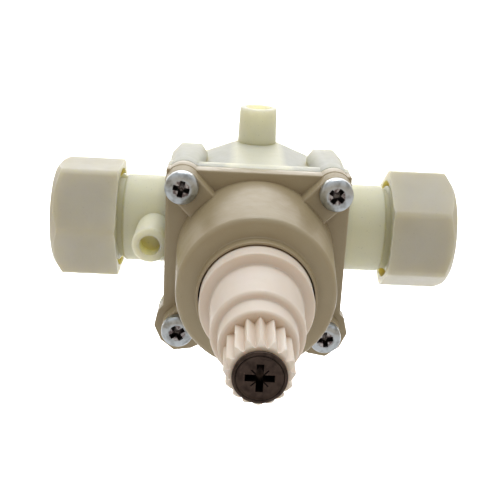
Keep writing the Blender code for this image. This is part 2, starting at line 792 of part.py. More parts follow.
def main():
    clear_scene()
    nylon = material("natural_nylon", (0.78, 0.78, 0.68), 0.45)
    beige = material("beige_plastic", (0.62, 0.56, 0.44), 0.5)
    cream = material("cream_acetal", (0.85, 0.78, 0.70), 0.45)
    zinc = material("zinc_plate", (0.62, 0.64, 0.66), 0.35, 1.0)
    bronze = material("dark_bronze", (0.10, 0.07, 0.05), 0.4, 1.0)
    brass = material("brass", (0.75, 0.58, 0.28), 0.35, 1.0)
    rubber = material("black_rubber", (0.03, 0.03, 0.03), 0.8)
    acetal = material("white_acetal", (0.82, 0.82, 0.80), 0.4)
    steel = material("spring_steel", (0.60, 0.60, 0.60), 0.3, 1.0)

    valve_body(nylon)
    cap(beige)
    for corner in CORNERS:
        cap_screw(corner, zinc)
    seal_y = body_front_y + GAP + SEAL_SECTION
    round_seal("body_seal", seal_y, register_radius + GAP + SEAL_SECTION, rubber)

    moving = bpy.data.objects.new("spindle_axis", None)
    bpy.context.scene.collection.objects.link(moving)
    seal_radius = cap_bore - SEAL_SECTION - 0.5 * GAP
    turning = [
        spindle(cream),
        spindle_screw(bronze),
        ring(
            "screw_insert", "Y", spline_y + GAP, spline_y + INSERT_LENGTH, END_SHANK_RADIUS + GAP,
            insert_radius, brass, SMALL_STEPS,
        ),
        round_seal("spindle_seal_front", FIRST_SEAL_Y, seal_radius, rubber),
        round_seal("spindle_seal_rear", FIRST_SEAL_Y + SEAL_PITCH, seal_radius, rubber),
        rotor(acetal),
        shutter_holder(acetal),
        shutter_spring(steel),
        shutter_seal(rubber),
    ]
    for piece in turning:
        piece.parent = moving
    thrust_washer(acetal)
    bush_low = chamber_back_y + GAP
    ring(
        "rear_bush", "Y", bush_low, bush_low + BUSH_LENGTH, TAIL_RADIUS + GAP,
        TAIL_RADIUS + GAP + BUSH_WALL, acetal, SMALL_STEPS,
    )
    for side, sign in (("left", -1), ("right", 1)):
        pipe_seal(side, sign, rubber)
        grip_ring(side, sign, acetal)
        union_nut(side, sign, nylon)


main()
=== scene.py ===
"""Looks of a plastic diverter valve: natural nylon body and nuts, beige cap, cream splined spindle."""

import math

import bmesh
import bpy
from mathutils import Matrix, Vector


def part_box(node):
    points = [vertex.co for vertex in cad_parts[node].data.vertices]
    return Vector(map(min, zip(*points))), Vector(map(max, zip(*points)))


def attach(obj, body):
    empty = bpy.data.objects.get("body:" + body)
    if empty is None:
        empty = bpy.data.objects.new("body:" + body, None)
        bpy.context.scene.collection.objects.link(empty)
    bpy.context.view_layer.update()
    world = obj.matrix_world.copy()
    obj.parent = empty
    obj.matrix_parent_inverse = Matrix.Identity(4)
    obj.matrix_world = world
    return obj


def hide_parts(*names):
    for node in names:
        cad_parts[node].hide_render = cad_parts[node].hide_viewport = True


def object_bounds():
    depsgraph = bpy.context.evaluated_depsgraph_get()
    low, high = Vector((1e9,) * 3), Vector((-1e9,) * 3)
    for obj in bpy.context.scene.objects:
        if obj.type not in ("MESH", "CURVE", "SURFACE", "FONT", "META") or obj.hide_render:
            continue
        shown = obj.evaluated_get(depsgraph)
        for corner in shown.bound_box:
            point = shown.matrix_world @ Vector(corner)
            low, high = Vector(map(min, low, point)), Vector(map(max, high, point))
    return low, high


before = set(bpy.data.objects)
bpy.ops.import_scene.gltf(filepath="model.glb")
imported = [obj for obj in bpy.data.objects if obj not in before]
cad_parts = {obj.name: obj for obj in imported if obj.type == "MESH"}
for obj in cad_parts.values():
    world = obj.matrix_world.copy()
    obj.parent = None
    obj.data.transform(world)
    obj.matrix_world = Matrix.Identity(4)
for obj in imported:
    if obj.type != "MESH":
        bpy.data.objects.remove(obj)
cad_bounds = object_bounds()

MM = 0.001
ROUND = 96  # facets round a large turned piece
SMALL_ROUND = 48
TOOL_PAST = 1.0 * MM  # how far a cutting tool runs past a face

# ---------------------------------------------------------------- sizes, from the frame


def middle(node):
    low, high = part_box(node)
    return (low + high) / 2


BODY_LOW, BODY_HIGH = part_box("valve_body")
CAP_LOW, CAP_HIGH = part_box("cap")
SPINDLE_LOW, SPINDLE_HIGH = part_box("spindle")
BODY_FRONT = BODY_LOW.y
BODY_BACK = BODY_HIGH.y
MOUTH = BODY_HIGH.x
SPIGOT_TOP = BODY_HIGH.z
CAP_BACK = BODY_FRONT - 0.3 * MM
SPLINE_END = SPINDLE_LOW.y

SCREWS = {
    corner: middle(f"cap_screw_{corner}")
    for corner in ("upper_left", "upper_right", "lower_left", "lower_right")
}
LUG_REACH = SCREWS["upper_right"].x
PAD_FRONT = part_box("cap_screw_upper_right")[0].y + 2.7 * MM
PLATE_FRONT = PAD_FRONT + 3.6 * MM
LIP_FRONT = CAP_LOW.y
DOME_FRONT = LIP_FRONT + 2.4 * MM
COLLAR_FRONT = LIP_FRONT - 4.1 * MM
BARREL_FRONT = COLLAR_FRONT - 12.8 * MM
SHOULDER_FRONT = BARREL_FRONT - 5.0 * MM

BARREL_RADIUS = 18.1 * MM
CHAMBER_RADIUS = 15.7 * MM
TUBE_RADIUS = 10.48 * MM
SOCKET_RADIUS = 7.6 * MM
WATERWAY_RADIUS = 6.0 * MM
THREAD_PITCH = 1.814 * MM
THREAD_CORE = 9.7 * MM
THREAD_START = 30.4 * MM
PLATE_HALF_WIDTH = 19.6 * MM
PLATE_HALF_HEIGHT = 18.7 * MM
LUG_RADIUS = 3.8 * MM
EAR_RADIUS = 5.2 * MM
SCREW_HOLE_RADIUS = 2.05 * MM
SPIGOT_Y = 8.2 * MM
NIPPLE_X = -23.2 * MM
NIPPLE_FRONT = BODY_FRONT + 0.35 * MM
NIPPLE_BORE_RADIUS = 2.3 * MM
NIPPLE_BORE_DEPTH = 4.0 * MM
SPIGOT_BORE_RADIUS = 3.1 * MM
PORT_STOP = MOUTH - 16.5 * MM
PORT_CONE = 0.9 * MM  # depth and rise of the lead-in at a port's mouth
CAP_BORE_STEP = BODY_FRONT - 9.95 * MM
COLLAR_RADIUS = 10.9 * MM
SEAL_GROOVE_RADIUS = 9.2 * MM
THRUST_FLANGE_RADIUS = 11.1 * MM
TANG_HALF = 2.7 * MM
LIP_BORE = 11.2 * MM
SPLINE_TEETH = 16
SPLINE_TIP = 5.85 * MM
SPLINE_ROOT = 4.75 * MM
END_HEAD_RADIUS = 4.45 * MM
SCREW_HEAD_RADIUS = 3.5 * MM
SCREW_SHANK_RADIUS = 1.75 * MM
PIPE_HOLE_RADIUS = 7.75 * MM
NUT_THREAD_RADIUS = 10.78 * MM
NUT_RELIEF_RADIUS = 11.7 * MM
NUT_CHAMFER = 2.3 * MM
NUT_FLAT = 12.8 * MM
NUT_CORNER = NUT_FLAT * 2 / math.sqrt(3)
NUT_TURNED = {"left": math.radians(-29.5), "right": math.radians(0.5)}

LIE_ALONG = {
    "X": Matrix.Rotation(math.radians(90), 4, "Y"),
    "Y": Matrix.Rotation(math.radians(-90), 4, "X"),
    "Z": Matrix.Identity(4),
}

# ---------------------------------------------------------------- modelling helpers


def as_object(name, bm, sharp=40):
    bmesh.ops.recalc_face_normals(bm, faces=bm.faces)
    mesh = bpy.data.meshes.new(name)
    bm.to_mesh(mesh)
    bm.free()
    mesh.shade_smooth()
    mesh.set_sharp_from_angle(angle=math.radians(sharp))
    obj = bpy.data.objects.new(name, mesh)
    bpy.context.scene.collection.objects.link(obj)
    return obj


def turned(name, outline, along, at=(0, 0, 0), steps=ROUND):
    """Turns an outline of (along, radius) or (along, radius, rounding) points about an axis."""
    bm = bmesh.new()
    corners = []
    for point in outline:
        corners.append(bm.verts.new((point[1], 0, point[0])))
    pairs = list(zip(corners, corners[1:]))
    if outline[0][1] > 0:
        pairs.append((corners[-1], corners[0]))
    for pair in pairs:
        bm.edges.new(pair)
    for size in sorted({point[2] for point in outline if len(point) > 2}):
        chosen = [v for v, point in zip(corners, outline) if len(point) > 2 and point[2] == size]
        bmesh.ops.bevel(
            bm, geom=chosen, offset=size, offset_type="OFFSET", segments=5, profile=0.5,
            affect="VERTICES", material=-1,
        )
    bmesh.ops.spin(
        bm, geom=list(bm.verts) + list(bm.edges), cent=(0, 0, 0), axis=(0, 0, 1), angle=math.tau,
        steps=steps, use_merge=True,
    )
    bmesh.ops.remove_doubles(bm, verts=bm.verts, dist=0.002 * MM)
    bmesh.ops.transform(bm, matrix=Matrix.Translation(at) @ LIE_ALONG[along], verts=bm.verts)
    return as_object(name, bm)


def rod(name, along, low, high, radius, at=(0, 0, 0), steps=SMALL_ROUND):
    return turned(name, [(low, 0), (low, radius), (high, radius), (high, 0)], along, at, steps)


def block(name, low, high, turn=None, soften=0.0, taper=1.0):
    """A box between two corners. Its front, low-y face is scaled by taper."""
    bm = bmesh.new()
    low, high = Vector(low), Vector(high)
    centre = Matrix.Translation((low + high) / 2)
    bmesh.ops.create_cube(bm, size=1, matrix=centre @ Matrix.Diagonal((*(high - low), 1)))
    if taper != 1.0:
        front = [v for v in bm.verts if abs(v.co.y - low.y) < 0.01 * MM]
        bmesh.ops.scale(bm, vec=(taper, 1, taper), space=centre.inverted(), verts=front)
    if soften:
        bmesh.ops.bevel(
            bm, geom=list(bm.edges), offset=soften, offset_type="OFFSET", segments=3, profile=0.5,
            affect="EDGES", material=-1,
        )
    if turn:
        bmesh.ops.transform(bm, matrix=turn, verts=bm.verts)
    return as_object(name, bm)


def shaped(name, base, steps):
    """Runs Booleans on a base object and keeps the result as one mesh. steps: (operation, tools)."""
    for operation, tools in steps:
        for tool in tools:
            modifier = base.modifiers.new(tool.name, "BOOLEAN")
            modifier.operation = operation
            modifier.solver = "MANIFOLD"
            modifier.object = tool
    graph = bpy.context.evaluated_depsgraph_get()
    mesh = bpy.data.meshes.new_from_object(base.evaluated_get(graph))
    for old in [base] + [tool for _, tools in steps for tool in tools]:
        bpy.data.objects.remove(old, do_unlink=True)
    bm = bmesh.new()
    bm.from_mesh(mesh)
    bmesh.ops.dissolve_degenerate(bm, edges=bm.edges, dist=0.003 * MM)
    bm.to_mesh(mesh)
    bm.free()
    mesh.name = name
    mesh.shade_smooth()
    mesh.set_sharp_from_angle(angle=math.radians(32))
    obj = bpy.data.objects.new(name, mesh)
    bpy.context.scene.collection.objects.link(obj)
    return obj


def lug_radius(corner):
    return EAR_RADIUS if corner == "lower_left" else LUG_RADIUS


def plate(name, low, high, soften):
    """A square plate with a round lug at each corner."""
    near = (-PLATE_HALF_WIDTH, low, -PLATE_HALF_HEIGHT)
    far = (PLATE_HALF_WIDTH, high, PLATE_HALF_HEIGHT)
    base = block(name, near, far, soften=soften)
    lugs = []
    for corner, place in SCREWS.items():
        radius = lug_radius(corner)
        outline = [(low, 0), (low, radius, soften), (high, radius, soften), (high, 0)]
        lugs.append(turned(f"lug_{corner}", outline, "Y", (place.x, 0, place.z), SMALL_ROUND))
    return shaped(name, base, [("UNION", lugs)])


def outward(corner):
    """Turns +X to point from the spindle's axis to a corner."""
    place = SCREWS[corner]
    side = math.copysign(1, place.x)
    up = math.copysign(1, place.z)
    return Matrix.Rotation(-math.atan2(up, side), 4, "Y")


# ---------------------------------------------------------------- materials


def node(tree, kind, **inputs):
    made = tree.nodes.new(kind)
    for key, value in inputs.items():
        made.inputs[key.replace("_", " ")].default_value = value
    return made


def mixed(tree, factor, first, second):
    """A colour mix; first and second are colours or sockets."""
    mix = tree.nodes.new("ShaderNodeMix")
    mix.data_type = "RGBA"
    tree.links.new(factor, mix.inputs["Factor"])
    for socket, value in ((mix.inputs["A"], first), (mix.inputs["B"], second)):
        if isinstance(value, bpy.types.NodeSocket):
            tree.links.new(value, socket)
        else:
            socket.default_value = (*value, 1)
    return mix.outputs["Result"]


def ramp(tree, source, low, high, low_value=0.0, high_value=1.0):
    """Maps a signal from low-high to low_value-high_value, held at both ends."""
    made = tree.nodes.new("ShaderNodeMapRange")
    made.inputs["From Min"].default_value = low
    made.inputs["From Max"].default_value = high
    made.inputs["To Min"].default_value = low_value
    made.inputs["To Max"].default_value = high_value
    tree.links.new(source, made.inputs["Value"])
    return made.outputs["Result"]


def noise(tree, scale, detail=3.0):
    """Noise on object coordinates, scale in cycles per metre."""
    place = tree.nodes.new("ShaderNodeTexCoord").outputs["Object"]
    made = node(tree, "ShaderNodeTexNoise", Scale=scale, Detail=detail)
    tree.links.new(place, made.inputs["Vector"])
    return made.outputs["Fac"]


def new_surface(name):
    mat = bpy.data.materials.new(name)
    mat.use_nodes = True
    tree = mat.node_tree
    return mat, tree, tree.nodes["Principled BSDF"]


def grain(tree, shader, parts):
    """Adds bump from several noises: (scale per metre, height in metres)."""
    normal = None
    for scale, height in parts:
        bump = node(tree, "ShaderNodeBump", Strength=1.0, Distance=height)
        tree.links.new(noise(tree, scale), bump.inputs["Height"])
        if normal:
            tree.links.new(normal, bump.inputs["Normal"])
        normal = bump.outputs["Normal"]
    tree.links.new(normal, shader.inputs["Normal"])


def by_zone(tree, pale, thin):
    """The port tubes and the spigot, with their thin walls, look yellower than the chamber."""
    place = tree.nodes.new("ShaderNodeSeparateXYZ")
    tree.links.new(tree.nodes.new("ShaderNodeTexCoord").outputs["Object"], place.inputs["Vector"])
    distance = tree.nodes.new("ShaderNodeMath")
    distance.operation = "ABSOLUTE"
    tree.links.new(place.outputs["X"], distance.inputs[0])
    tubes = ramp(tree, distance.outputs["Value"], 18 * MM, 23 * MM)
    colour = mixed(tree, tubes, pale, thin)
    upright = tree.nodes.new("ShaderNodeMath")
    upright.operation = "MULTIPLY"
    tree.links.new(ramp(tree, distance.outputs["Value"], 6 * MM, 8 * MM, 1.0, 0.0), upright.inputs[0])
    tree.links.new(ramp(tree, place.outputs["Z"], 17.6 * MM, 18.8 * MM), upright.inputs[1])
    return mixed(tree, upright.outputs["Value"], colour, thin)


def moulded_plastic(name, tones, reach, glow, depth, gloss, rough, bumps, thin=None):
    """Moulded plastic. Its tones are pale, warm for soft patches and deep, which is painted shade laid into
    its hollows.
    """
    pale, warm, deep = tones
    mat, tree, shader = new_surface(name)
    patches = ramp(tree, noise(tree, 90, 2.0), 0.35, 0.7)
    colour = mixed(tree, patches, pale, warm)
    if thin:
        colour = by_zone(tree, colour, thin)
    # Painted shade: where ambient occlusion finds a hollow, the colour turns to the deep tone, darker and
    # yellower.
    shade = node(tree, "ShaderNodeAmbientOcclusion", Distance=reach)
    shade.samples = 8
    hollow = ramp(tree, shade.outputs["AO"], 0.15, 0.8, 1.0, 0.0)
    colour = mixed(tree, hollow, colour, deep)
    specks = ramp(tree, noise(tree, 2600, 1.0), 0.70, 0.76, 0.0, 0.35)
    colour = mixed(tree, specks, colour, tuple(0.72 * c for c in warm))
    tree.links.new(colour, shader.inputs["Base Color"])
    tree.links.new(ramp(tree, noise(tree, 420), 0.3, 0.7, rough - 0.06, rough + 0.08),
                   shader.inputs["Roughness"])
    shader.inputs["Subsurface Weight"].default_value = glow
    shader.inputs["Subsurface Radius"].default_value = depth
    shader.inputs["Subsurface Scale"].default_value = 1.0
    shader.inputs["Specular IOR Level"].default_value = gloss
    grain(tree, shader, bumps)
    return mat


def around_screws(tree, reach):
    """One within the reach of a cap screw's middle, nothing beyond it."""
    place = tree.nodes.new("ShaderNodeTexCoord").outputs["Object"]
    steps = (
        ("ABSOLUTE", (0, 0, 0)), ("SUBTRACT", (LUG_REACH, 0, LUG_REACH)), ("MULTIPLY", (1, 0, 1)),
        ("LENGTH", (0, 0, 0)),
    )
    for operation, amount in steps:
        step = tree.nodes.new("ShaderNodeVectorMath")
        step.operation = operation
        tree.links.new(place, step.inputs[0])
        step.inputs[1].default_value = amount
        place = step.outputs["Value" if operation == "LENGTH" else "Vector"]
    ragged = tree.nodes.new("ShaderNodeMath")
    ragged.operation = "MULTIPLY_ADD"
    tree.links.new(noise(tree, 900, 2.0), ragged.inputs[0])
    ragged.inputs[1].default_value = 0.9 * MM
    tree.links.new(place, ragged.inputs[2])
    return ramp(tree, ragged.outputs["Value"], reach + 0.3 * MM, reach + 0.6 * MM, 1.0, 0.0)


def plated_metal(name, colour, stain, recess_shade, rough, bumps, mottle_reach=0.0):
    """Bare or plated metal, stained in patches, with painted shade darkening and roughening its recesses,
    and a darker mottled patch round each cap screw's middle when a mottle reach is given.
    """
    mat, tree, shader = new_surface(name)
    patches = ramp(tree, noise(tree, 700, 4.0), 0.45, 0.75)
    surface = mixed(tree, patches, colour, stain)
    # A darker, mottled patch over each cap screw's middle, ragged at its edge.
    if mottle_reach:
        spots = ramp(tree, noise(tree, 1500, 3.0), 0.42, 0.62)
        mottled = mixed(tree, spots, (0.13, 0.10, 0.10), (0.48, 0.46, 0.46))
        surface = mixed(tree, around_screws(tree, mottle_reach), surface, mottled)
    # Painted shade: recesses found by ambient occlusion take the dark recess tone and a rougher finish.
    shade = node(tree, "ShaderNodeAmbientOcclusion", Distance=1.6 * MM)
    shade.samples = 8
    hollow = ramp(tree, shade.outputs["AO"], 0.45, 0.85, 1.0, 0.0)
    surface = mixed(tree, hollow, surface, recess_shade)
    tree.links.new(surface, shader.inputs["Base Color"])
    shader.inputs["Metallic"].default_value = 1.0
    tree.links.new(ramp(tree, hollow, 0.0, 1.0, rough, 0.85), shader.inputs["Roughness"])
    grain(tree, shader, bumps)
    return mat


def soft_rubber(name):
    mat, tree, shader = new_surface(name)
    patches = ramp(tree, noise(tree, 500), 0.4, 0.7)
    colour = mixed(tree, patches, (0.018, 0.018, 0.019), (0.035, 0.034, 0.033))
    tree.links.new(colour, shader.inputs["Base Color"])
    shader.inputs["Roughness"].default_value = 0.62
    grain(tree, shader, [(3000, 0.02 * MM)])
    return mat


# The third tone of each plastic below is painted shade for its hollows.
NYLON = moulded_plastic(
    "natural_nylon", ((0.45, 0.46, 0.42), (0.43, 0.44, 0.385), (0.50, 0.47, 0.29)), 3 * MM, 1.0,
    (0.0090, 0.0082, 0.0050), 0.35, 0.48, [(260, 0.10 * MM), (2400, 0.012 * MM)], (0.72, 0.71, 0.53),
)
NUT_NYLON = moulded_plastic(
    "nut_nylon", ((0.53, 0.51, 0.43), (0.50, 0.475, 0.385), (0.46, 0.41, 0.17)), 5 * MM, 1.0,
    (0.0060, 0.0054, 0.0030), 0.4, 0.5, [(220, 0.12 * MM), (2400, 0.012 * MM)],
)
BEIGE = moulded_plastic(
    "beige_plastic", ((0.335, 0.278, 0.168), (0.31, 0.248, 0.142), (0.26, 0.195, 0.11)), 2.5 * MM, 0.12,
    (0.0012, 0.0009, 0.0005), 0.9, 0.38, [(300, 0.08 * MM), (2800, 0.010 * MM)],
)
CREAM = moulded_plastic(
    "cream_acetal", ((0.73, 0.66, 0.59), (0.69, 0.605, 0.515), (0.58, 0.42, 0.26)), 6 * MM, 0.4,
    (0.0022, 0.0015, 0.0010), 0.6, 0.42, [(240, 0.06 * MM), (2600, 0.008 * MM)],
)
ACETAL = moulded_plastic(
    "white_acetal", ((0.60, 0.60, 0.57), (0.55, 0.54, 0.50), (0.40, 0.38, 0.32)), 4 * MM, 0.2,
    (0.0016, 0.0014, 0.0012), 0.4, 0.38, [(400, 0.04 * MM)],
)
# The third colour of each metal below is painted shade for its recesses.
ZINC = plated_metal(
    "zinc_plate", (0.50, 0.54, 0.57), (0.24, 0.25, 0.25), (0.035, 0.030, 0.028), 0.30, [(1800, 0.03 * MM)],
    mottle_reach=1.75 * MM,
)
BRONZE = plated_metal(
    "dark_bronze", (0.065, 0.046, 0.038), (0.030, 0.021, 0.018), (0.006, 0.005, 0.005), 0.38,
    [(2200, 0.02 * MM)],
)
BRASS = plated_metal(
    "brass", (0.72, 0.52, 0.22), (0.50, 0.34, 0.14), (0.20, 0.13, 0.06), 0.30, [(1500, 0.02 * MM)]
)
STEEL = plated_metal(
    "spring_steel", (0.55, 0.56, 0.57), (0.35, 0.35, 0.36), (0.10, 0.10, 0.10), 0.28, [(1500, 0.02 * MM)]
)
RUBBER = soft_rubber("black_rubber")


def finished(obj, material, body, slot, *nodes):
    """Gives a piece its material, its body and the CAD nodes that it stands for."""
    obj.data.materials.clear()
    obj.data.materials.append(material)
    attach(obj, body)
    if nodes:
        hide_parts(*nodes)
    return obj


# ---------------------------------------------------------------- valve body


def thread_ridge(side):
    """The helical ridge of a port's right-hand thread, from the runout to the mouth."""
    steps_each = 40
    turns = 4.9
    half_base = 0.86 * MM
    crest = 0.25 * MM
    start = THREAD_START + 0.2 * MM
    bm = bmesh.new()
    corners = [
        (THREAD_CORE - 0.5 * MM, -half_base), (THREAD_CORE + 0.02 * MM, -half_base), (TUBE_RADIUS, -crest),
        (TUBE_RADIUS, crest), (THREAD_CORE + 0.02 * MM, half_base), (THREAD_CORE - 0.5 * MM, half_base),
    ]
    face = bm.faces.new([bm.verts.new((radius, 0, start + 0.9 * MM + along)) for radius, along in corners])
    bmesh.ops.spin(
        bm, geom=[face, *face.edges, *face.verts], cent=(0, 0, 0), axis=(0, 0, 1),
        dvec=(0, 0, THREAD_PITCH / steps_each), angle=turns * math.tau, steps=round(turns * steps_each),
        use_merge=False,
    )
    turn = Matrix.Rotation(math.radians(90 * side), 4, "Y")
    bmesh.ops.transform(bm, matrix=turn, verts=bm.verts)
    return as_object(f"thread_{side}", bm)


def wrapped(bm):
    """Keeps the tightest solid round the points."""
    hull = bmesh.ops.convex_hull(bm, input=bm.verts)
    spare = [item for item in hull["geom_interior"] if isinstance(item, bmesh.types.BMVert)]
    bmesh.ops.delete(bm, geom=spare, context="VERTS")
    bmesh.ops.dissolve_limit(bm, angle_limit=math.radians(1), verts=bm.verts, edges=bm.edges)


def boss(corner):
    """The post behind a lug, which changes from round to flat-sided towards its end."""
    place = SCREWS[corner]
    end = BODY_FRONT + 21.85 * MM
    section = [  # (outward in x, outward in z) from the screw's axis, in MM
        (-4.3, 0.9), (-2.9, 3.05), (1.9, 3.05), (4.0, 0.7), (4.0, -2.4), (1.9, -3.6), (-2.9, -3.6),
        (-4.3, -1.6),
    ]
    x_way = math.copysign(1, place.x)
    z_way = math.copysign(1, place.z)
    bm = bmesh.new()
    at = Matrix.Translation((place.x, BODY_FRONT + 1.0 * MM, place.z)) @ LIE_ALONG["Y"]
    bmesh.ops.create_circle(bm, segments=SMALL_ROUND, radius=LUG_RADIUS - 0.15 * MM, matrix=at)
    for y, spread in ((end - 0.6 * MM, 1.0), (end, 0.86)):
        for out, up in section:
            bm.verts.new((place.x + x_way * out * spread * MM, y, place.z + z_way * up * spread * MM))
    wrapped(bm)
    return as_object(f"boss_{corner}", bm)


def roof():
    """The top of the chamber, which falls away from the spigot to the bosses on each side."""
    bm = bmesh.new()
    for y in (BODY_FRONT + 3.0 * MM, BODY_BACK - 4.2 * MM):
        for side in (-1, 1):
            for x, z in ((4.9, 18.35), (12.6, 15.35), (12.6, 8.0)):
                bm.verts.new((side * x * MM, y, z * MM))
    wrapped(bm)
    return as_object("body_roof", bm)


def web(corner):
    """A rib from the chamber out to a boss."""
    place = SCREWS[corner]
    low = (CHAMBER_RADIUS + 0.8 * MM, BODY_FRONT + 1.3 * MM, -1.1 * MM)
    high = (Vector((place.x, place.z)).length, BODY_FRONT + 20.5 * MM, 1.1 * MM)
    return block(f"web_{corner}", low, high, outward(corner), soften=0.3 * MM)


def valve_body():
    """Chamber, square flange, bosses, port tubes with threads, hose spigot and side nipple."""
    barrel = turned(
        "valve_body_shell",
        [
            (BODY_FRONT + 0.5 * MM, 0), (BODY_FRONT + 0.5 * MM, BARREL_RADIUS),
            (BODY_BACK, BARREL_RADIUS, 0.3 * MM), (BODY_BACK, 0),
        ],
        "Y",
    )
    flange = plate("body_flange", BODY_FRONT, BODY_FRONT + 4.0 * MM, 0.25 * MM)
    tube = turned(
        "port_tubes",
        [
            (-MOUTH, 0), (-MOUTH, THREAD_CORE - 0.3 * MM, 0.3 * MM), (-MOUTH + 1.0 * MM, THREAD_CORE),
            (-THREAD_START - 0.5 * MM, THREAD_CORE), (-THREAD_START, TUBE_RADIUS - 0.05 * MM, 0.2 * MM),
            (THREAD_START, TUBE_RADIUS - 0.05 * MM, 0.2 * MM), (THREAD_START + 0.5 * MM, THREAD_CORE),
            (MOUTH - 1.0 * MM, THREAD_CORE), (MOUTH, THREAD_CORE - 0.3 * MM, 0.3 * MM), (MOUTH, 0),
        ],
        "X",
    )
    spigot = turned(
        "spigot",
        [
            (13 * MM, 0), (13 * MM, 4.85 * MM), (SPIGOT_TOP - 1.2 * MM, 4.5 * MM),
            (SPIGOT_TOP, 4.4 * MM, 0.25 * MM), (SPIGOT_TOP, 0),
        ],
        "Z", (0, SPIGOT_Y, 0), SMALL_ROUND,
    )
    nipple = turned(
        "nipple",
        [(NIPPLE_FRONT, 0), (NIPPLE_FRONT, 4.0 * MM, 0.5 * MM), (0, 4.15 * MM), (0, 0)],
        "Y", (NIPPLE_X, 0, 0), SMALL_ROUND,
    )
    solids = [flange, tube, spigot, nipple, roof(), thread_ridge(-1), thread_ridge(1)]
    for corner in SCREWS:
        solids += [boss(corner), web(corner)]
    chamber = turned(
        "chamber",
        [
            (BODY_FRONT - TOOL_PAST, 0), (BODY_FRONT - TOOL_PAST, 17.3 * MM),
            (BODY_FRONT + 2.0 * MM, 17.3 * MM), (BODY_FRONT + 2.0 * MM, CHAMBER_RADIUS),
            (BODY_BACK - 3.4 * MM, CHAMBER_RADIUS, 0.6 * MM), (BODY_BACK - 3.4 * MM, 4.3 * MM),
            (BODY_BACK - 1.1 * MM, 4.3 * MM), (BODY_BACK - 1.1 * MM, 0),
        ],
        "Y",
    )
    end = MOUTH + TOOL_PAST
    wide = SOCKET_RADIUS + PORT_CONE + TOOL_PAST
    waterway = turned(
        "waterway",
        [
            (-end, 0), (-end, wide), (-MOUTH + PORT_CONE, SOCKET_RADIUS), (-PORT_STOP, SOCKET_RADIUS),
            (-PORT_STOP, WATERWAY_RADIUS), (PORT_STOP, WATERWAY_RADIUS), (PORT_STOP, SOCKET_RADIUS),
            (MOUTH - PORT_CONE, SOCKET_RADIUS), (end, wide), (end, 0),
        ],
        "X",
    )
    spigot_bore = rod(
        "spigot_bore", "Z", 13.5 * MM, SPIGOT_TOP + TOOL_PAST, SPIGOT_BORE_RADIUS, (0, SPIGOT_Y, 0)
    )
    nipple_bore = rod(
        "nipple_bore", "Y", NIPPLE_FRONT - TOOL_PAST, NIPPLE_FRONT + NIPPLE_BORE_DEPTH, NIPPLE_BORE_RADIUS,
        (NIPPLE_X, 0, 0),
    )
    pilots = [
        rod(f"pilot_{corner}", "Y", BODY_FRONT - TOOL_PAST, BODY_FRONT + 11.5 * MM, SCREW_HOLE_RADIUS,
            (place.x, 0, place.z))
        for corner, place in SCREWS.items()
    ]
    body = shaped("valve_body_shell", barrel, [
        ("UNION", solids), ("DIFFERENCE", [chamber, waterway, spigot_bore, nipple_bore, *pilots]),
    ])
    return finished(body, NYLON, "valve_body", "natural_nylon", "valve_body")


# ---------------------------------------------------------------- cap


def pad(corner):
    """A raised strip from the dome to a screw, round at its outer end, with drafted walls."""
    place = SCREWS[corner]
    half = LUG_RADIUS - 0.1 * MM
    draft = 0.25 * MM
    bm = bmesh.new()
    for y, wide in ((PAD_FRONT, half - draft), (PLATE_FRONT + 1.0 * MM, half)):
        at = Matrix.Translation((place.x, y, place.z)) @ LIE_ALONG["Y"]
        bmesh.ops.create_circle(bm, segments=SMALL_ROUND, radius=wide, matrix=at)
        for z in (-wide, wide):
            bm.verts.new(outward(corner) @ Vector((15.0 * MM, y, z)))
    wrapped(bm)
    rim = [
        edge for edge in bm.edges
        if all(abs(v.co.y - PAD_FRONT) < 0.01 * MM for v in edge.verts)
    ]
    bmesh.ops.bevel(
        bm, geom=rim, offset=0.45 * MM, offset_type="OFFSET", segments=4, profile=0.5, affect="EDGES",
        material=-1,
    )
    return as_object(f"pad_{corner}", bm)


def lower_lug(side):
    """The angular lug round a lower screw, with its flat bottom edge."""
    bm = bmesh.new()
    for y in (PLATE_FRONT, CAP_BACK):
        for x, z in (
            (6.0, -18.4), (13.2, -22.2), (17.0, -22.8), (20.0, -20.4), (21.5, -17.0), (20.6, -13.5),
            (18.0, -11.0), (8.0, -11.0),
        ):
            bm.verts.new((side * x * MM, y, z * MM))
    wrapped(bm)
    return as_object(f"lower_lug_{side}", bm)


def cap():
    """The square plate with its lugs and pads, and the tapered dome with its lip."""
    dome = turned(
        "cap_cover",
        [
            (BODY_FRONT + 3.8 * MM, 0), (BODY_FRONT + 3.8 * MM, 15.3 * MM), (CAP_BACK - 1.0 * MM, 15.3 * MM),
            (CAP_BACK - 1.0 * MM, 17.2 * MM), (PLATE_FRONT, 17.05 * MM), (DOME_FRONT, 15.65 * MM, 1.0 * MM),
            (DOME_FRONT, 11.75 * MM, 0.3 * MM), (LIP_FRONT, 11.65 * MM, 0.15 * MM), (LIP_FRONT, 0),
        ],
        "Y",
    )
    cover = plate("cap_plate", PLATE_FRONT, CAP_BACK, 0.3 * MM)
    bore = turned(
        "cap_bore",
        [
            (LIP_FRONT - TOOL_PAST, 0), (LIP_FRONT - TOOL_PAST, LIP_BORE), (CAP_BORE_STEP, LIP_BORE),
            (CAP_BORE_STEP, 13.4 * MM), (BODY_FRONT + 5 * MM, 13.4 * MM), (BODY_FRONT + 5 * MM, 0),
        ],
        "Y",
    )
    holes = [
        rod(f"hole_{corner}", "Y", PAD_FRONT - TOOL_PAST, CAP_BACK + TOOL_PAST, SCREW_HOLE_RADIUS,
            (place.x, 0, place.z))
        for corner, place in SCREWS.items()
    ]
    made = shaped("cap_cover", dome, [
        ("UNION", [cover, lower_lug(-1), lower_lug(1), *[pad(corner) for corner in SCREWS]]),
        ("DIFFERENCE", [bore, *holes]),
    ])
    return finished(made, BEIGE, "valve_body", "beige_plastic", "cap")


# ---------------------------------------------------------------- spindle


